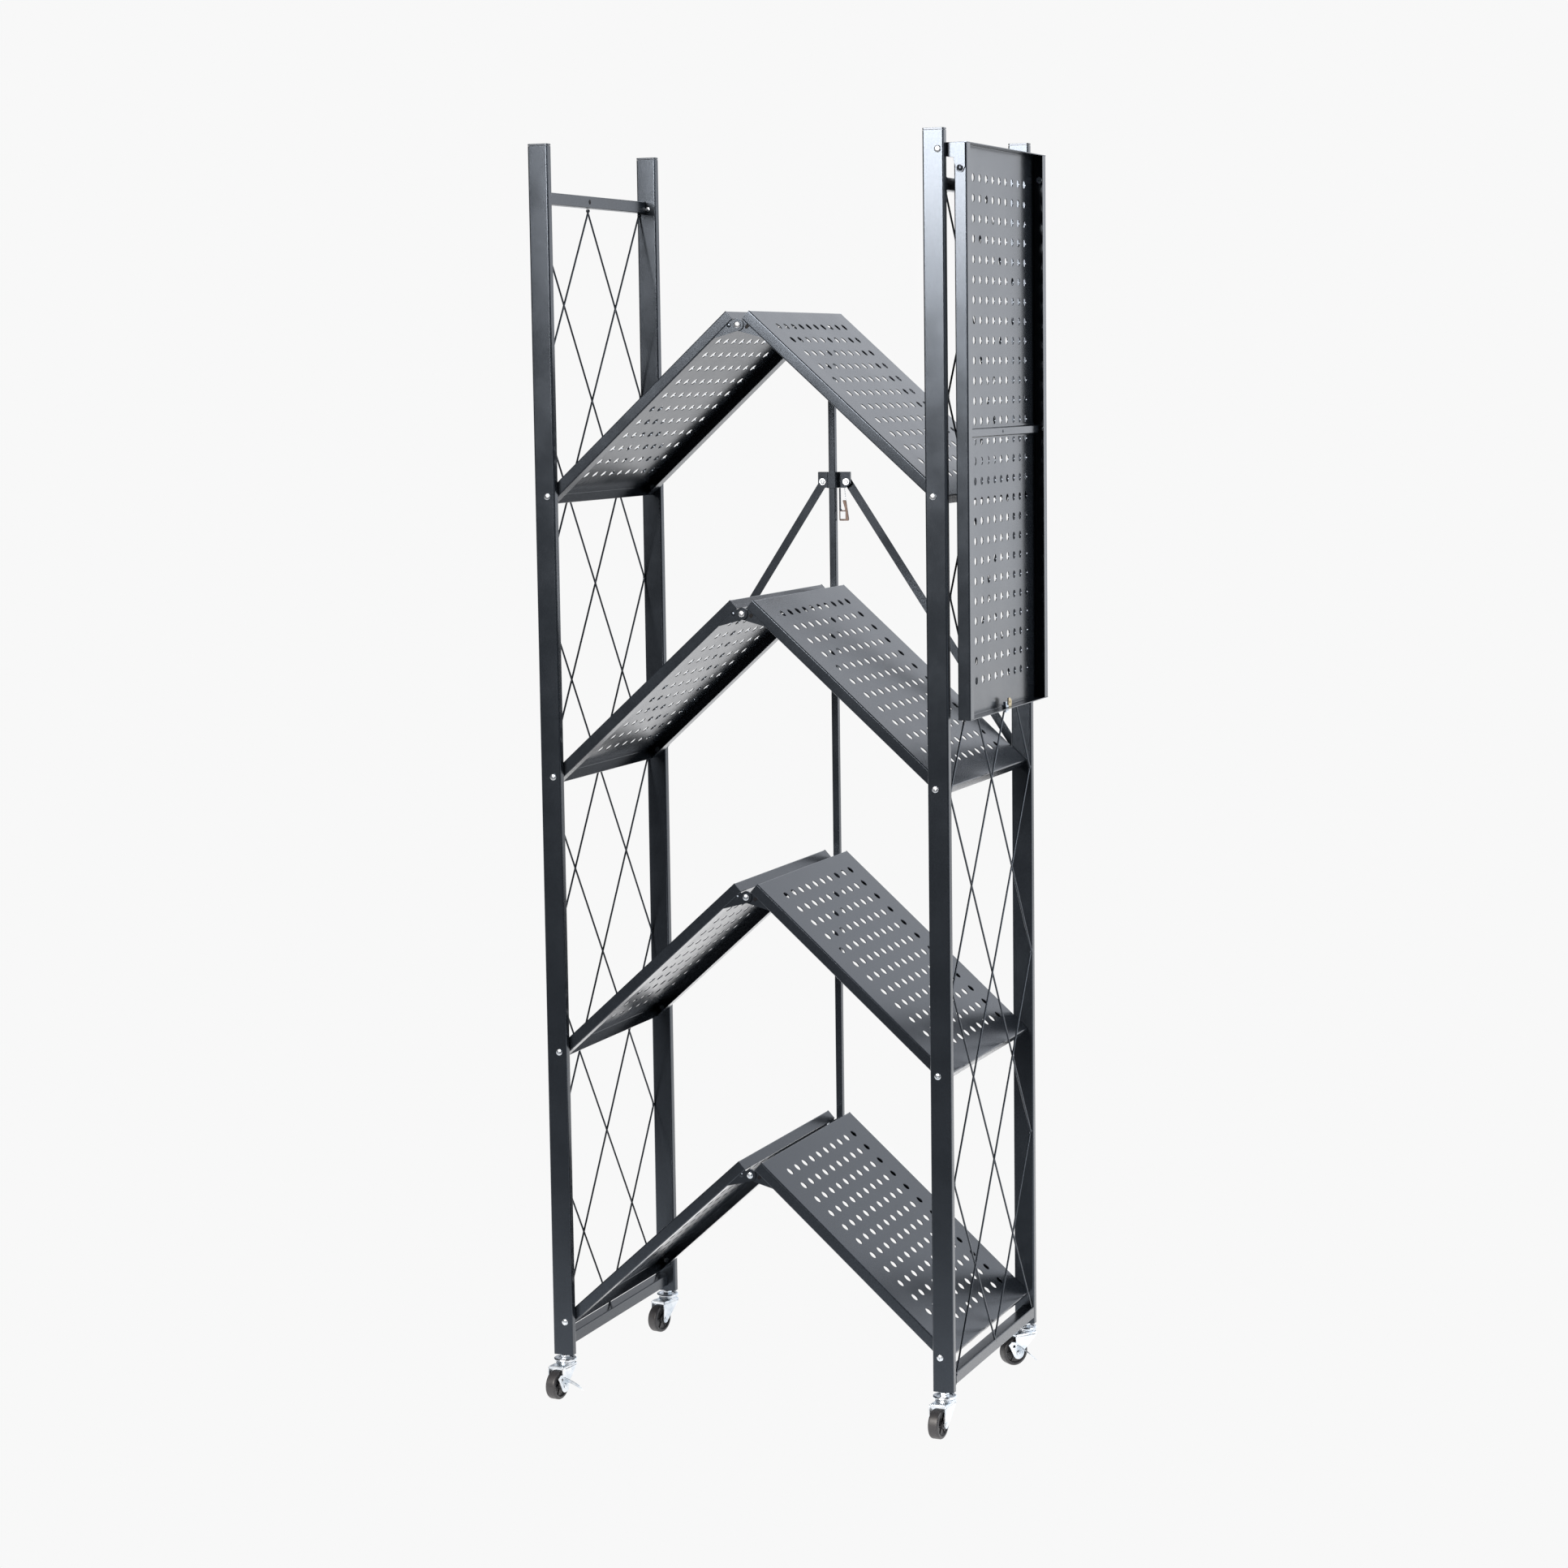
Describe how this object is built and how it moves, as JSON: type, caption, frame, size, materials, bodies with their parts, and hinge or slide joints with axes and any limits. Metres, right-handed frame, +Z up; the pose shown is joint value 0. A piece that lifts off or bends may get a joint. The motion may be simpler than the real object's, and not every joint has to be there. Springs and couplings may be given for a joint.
{
  "type": "folding storage rack",
  "caption": "Tall rack on swivel casters whose perforated shelves fold upwards at middle hinges as the wire-braced side frames close, with a hinged top shelf and a sliding brace collar",
  "frame": {"origin": "on the floor, under the middle of the bounding box", "axes": "+Z up, +X to the right as seen from the front, the front faces -Y"},
  "size_m": [0.5736, 0.388, 1.5976],
  "materials": {
    "charcoal_paint": "semi-gloss textured powder coat",
    "black_plastic": "matte",
    "zinc_plate": "bright zinc plating",
    "yellow_zinc": "yellow passivated plating",
    "spring_steel": "dark tempered strip",
    "tyre_plastic": "satin moulded"
  },
  "bodies": {
    "left_frame": {"front_left_post": "charcoal_paint", "rear_left_post": "charcoal_paint", "front_left_cap": "black_plastic", "rear_left_cap": "black_plastic", "left_top_rail": "charcoal_paint", "left_bottom_rail": "charcoal_paint", "left_lattice": "charcoal_paint", "front_left_stem": "zinc_plate", "rear_left_stem": "zinc_plate"},
    "right_frame": {"front_right_post": "charcoal_paint", "rear_right_post": "charcoal_paint", "front_right_cap": "black_plastic", "rear_right_cap": "black_plastic", "right_top_rail": "charcoal_paint", "right_bottom_rail": "charcoal_paint", "right_lattice": "charcoal_paint", "front_right_stem": "zinc_plate", "rear_right_stem": "zinc_plate"},
    "upper_shelf": {"top_shelf": "charcoal_paint", "top_shelf_stiffener": "charcoal_paint", "front_pivot_bracket": "charcoal_paint", "rear_pivot_bracket": "charcoal_paint", "latch_bolt": "zinc_plate", "latch_hook": "yellow_zinc"},
    "bar": {"guide_bar": "charcoal_paint"},
    "collar": {"brace_collar": "charcoal_paint", "left_collar_bolt": "zinc_plate", "right_collar_bolt": "zinc_plate"},
    "trigger": {"latch_trigger": "spring_steel"},
    "left_arm": {"left_brace_arm": "charcoal_paint"},
    "right_arm": {"right_brace_arm": "charcoal_paint"},
    "left_half_1": {"left_leaf_1": "charcoal_paint", "front_hinge_pin_1": "zinc_plate", "rear_hinge_pin_1": "zinc_plate"},
    "right_half_1": {"right_leaf_1": "charcoal_paint"},
    "left_half_2": {"left_leaf_2": "charcoal_paint", "front_hinge_pin_2": "zinc_plate", "rear_hinge_pin_2": "zinc_plate"},
    "right_half_2": {"right_leaf_2": "charcoal_paint"},
    "left_half_3": {"left_leaf_3": "charcoal_paint", "front_hinge_pin_3": "zinc_plate", "rear_hinge_pin_3": "zinc_plate"},
    "right_half_3": {"right_leaf_3": "charcoal_paint"},
    "left_half_4": {"left_leaf_4": "charcoal_paint", "front_hinge_pin_4": "zinc_plate", "rear_hinge_pin_4": "zinc_plate"},
    "right_half_4": {"right_leaf_4": "charcoal_paint"},
    "front_left_caster": {"front_left_fork": "zinc_plate"},
    "front_left_roller": {"front_left_wheel": "tyre_plastic"},
    "rear_left_caster": {"rear_left_fork": "zinc_plate"},
    "rear_left_roller": {"rear_left_wheel": "tyre_plastic"},
    "front_right_caster": {"front_right_fork": "zinc_plate"},
    "front_right_roller": {"front_right_wheel": "tyre_plastic"},
    "rear_right_caster": {"rear_right_fork": "zinc_plate"},
    "rear_right_roller": {"rear_right_wheel": "tyre_plastic"},
    "front_left_brake": {"front_left_brake_lever": "zinc_plate"},
    "rear_right_brake": {"rear_right_brake_lever": "zinc_plate"}
  },
  "joints": [
    {"name": "fold", "type": "hinge", "parent": "left_frame", "child": "left_half_1", "pos_m": [-0.26565, 0.01192, 1.16124], "axis": [0, -1, 0], "range_deg": [-41.9, 43.9]},
    {"name": "left_half_2_fold", "type": "hinge", "parent": "left_frame", "child": "left_half_2", "pos_m": [-0.26565, 0.01192, 0.80683], "axis": [0, -1, 0], "range_deg": [-42.9, 44.9]},
    {"name": "left_half_3_fold", "type": "hinge", "parent": "left_frame", "child": "left_half_3", "pos_m": [-0.26565, 0.01192, 0.45243], "axis": [0, -1, 0], "range_deg": [-42.9, 44.9]},
    {"name": "left_half_4_fold", "type": "hinge", "parent": "left_frame", "child": "left_half_4", "pos_m": [-0.26565, 0.01192, 0.09803], "axis": [0, -1, 0], "range_deg": [-42.9, 44.9]},
    {"name": "middle_hinge_1", "type": "hinge", "parent": "left_half_1", "child": "right_half_1", "pos_m": [-0.00994, 0.01192, 1.37062], "axis": [0, -1, 0], "range_deg": [-88.8, 84.8]},
    {"name": "middle_hinge_2", "type": "hinge", "parent": "left_half_2", "child": "right_half_2", "pos_m": [-0.00994, 0.01192, 1.01622], "axis": [0, -1, 0], "range_deg": [-88.8, 84.8]},
    {"name": "middle_hinge_3", "type": "hinge", "parent": "left_half_3", "child": "right_half_3", "pos_m": [-0.00994, 0.01192, 0.66182], "axis": [0, -1, 0], "range_deg": [-88.8, 84.8]},
    {"name": "middle_hinge_4", "type": "hinge", "parent": "left_half_4", "child": "right_half_4", "pos_m": [-0.00994, 0.01192, 0.30742], "axis": [0, -1, 0], "range_deg": [-88.8, 84.8]},
    {"name": "right_frame_hinge", "type": "hinge", "parent": "right_half_1", "child": "right_frame", "pos_m": [0.24577, 0.01192, 1.16124], "axis": [0, -1, 0], "range_deg": [-42.9, 44.9]},
    {"name": "bar_hinge", "type": "hinge", "parent": "left_half_1", "child": "bar", "pos_m": [-0.00994, 0.17792, 1.37062], "axis": [0, -1, 0], "range_deg": [-44.9, 42.9]},
    {"name": "left_arm_swing", "type": "hinge", "parent": "left_frame", "child": "left_arm", "pos_m": [-0.26565, 0.18752, 0.80683], "axis": [0, -1, 0], "range_deg": [-21.95, 22.95]},
    {"name": "right_arm_swing", "type": "hinge", "parent": "right_frame", "child": "right_arm", "pos_m": [0.24577, 0.18932, 0.80683], "axis": [0, -1, 0], "range_deg": [-22.95, 21.95]},
    {"name": "collar_slide", "type": "slide", "parent": "bar", "child": "collar", "axis": [0, 0, 1], "range_m": [-0.09, 0.09]},
    {"name": "trigger_press", "type": "hinge", "parent": "collar", "child": "trigger", "pos_m": [0.00406, 0.18352, 1.15866], "axis": [-1, 0, 0], "range_deg": [0, 15], "stiffness_Nm_per_rad": 0.05},
    {"name": "upper_shelf_swing", "type": "hinge", "parent": "right_frame", "child": "upper_shelf", "pos_m": [0.25527, 0.01192, 1.57264], "axis": [0, -1, 0], "range_deg": [0, 270]},
    {"name": "front_left_swivel", "type": "hinge", "parent": "left_frame", "child": "front_left_caster", "pos_m": [-0.26915, -0.15508, -0.00036], "axis": [0, 0, 1], "continuous": true},
    {"name": "front_left_roll", "type": "hinge", "parent": "front_left_caster", "child": "front_left_roller", "pos_m": [-0.27193, -0.17489, 0.01863], "axis": [0.9903, -0.1392, 0], "continuous": true},
    {"name": "front_left_brake_press", "type": "hinge", "parent": "front_left_caster", "child": "front_left_brake", "pos_m": [-0.27193, -0.17489, 0.01863], "axis": [0.9903, -0.1392, 0], "range_deg": [-25, 0]},
    {"name": "rear_left_swivel", "type": "hinge", "parent": "left_frame", "child": "rear_left_caster", "pos_m": [-0.26915, 0.17892, -0.00036], "axis": [0, 0, 1], "continuous": true},
    {"name": "rear_left_roll", "type": "hinge", "parent": "rear_left_caster", "child": "rear_left_roller", "pos_m": [-0.27365, 0.15943, 0.01863], "axis": [0.9744, -0.225, 0], "continuous": true},
    {"name": "front_right_swivel", "type": "hinge", "parent": "right_frame", "child": "front_right_caster", "pos_m": [0.24927, -0.15508, -0.00036], "axis": [0, 0, 1], "continuous": true},
    {"name": "front_right_roll", "type": "hinge", "parent": "front_right_caster", "child": "front_right_roller", "pos_m": [0.24753, -0.17501, 0.01863], "axis": [0.9962, -0.0872, 0], "continuous": true},
    {"name": "rear_right_swivel", "type": "hinge", "parent": "right_frame", "child": "rear_right_caster", "pos_m": [0.24927, 0.17892, -0.00036], "axis": [0, 0, 1], "continuous": true},
    {"name": "rear_right_roll", "type": "hinge", "parent": "rear_right_caster", "child": "rear_right_roller", "pos_m": [0.23696, 0.16316, 0.01863], "axis": [0.788, -0.6157, 0], "continuous": true},
    {"name": "rear_right_brake_press", "type": "hinge", "parent": "rear_right_caster", "child": "rear_right_brake", "pos_m": [0.23696, 0.16316, 0.01863], "axis": [0.788, -0.6157, 0], "range_deg": [-25, 0]}
  ],
  "couplings": [
    {"joint": "left_half_2_fold", "follows": "fold", "ratio": 1},
    {"joint": "left_half_3_fold", "follows": "fold", "ratio": 1},
    {"joint": "left_half_4_fold", "follows": "fold", "ratio": 1},
    {"joint": "middle_hinge_1", "follows": "fold", "ratio": -2},
    {"joint": "middle_hinge_2", "follows": "fold", "ratio": -2},
    {"joint": "middle_hinge_3", "follows": "fold", "ratio": -2},
    {"joint": "middle_hinge_4", "follows": "fold", "ratio": -2},
    {"joint": "right_frame_hinge", "follows": "fold", "ratio": 1},
    {"joint": "bar_hinge", "follows": "fold", "ratio": -1},
    {"joint": "left_arm_swing", "follows": "fold", "ratio": 0.5},
    {"joint": "right_arm_swing", "follows": "fold", "ratio": -0.5},
    {"joint": "collar_slide", "follows": "fold", "m_per_rad": -0.115}
  ]
}
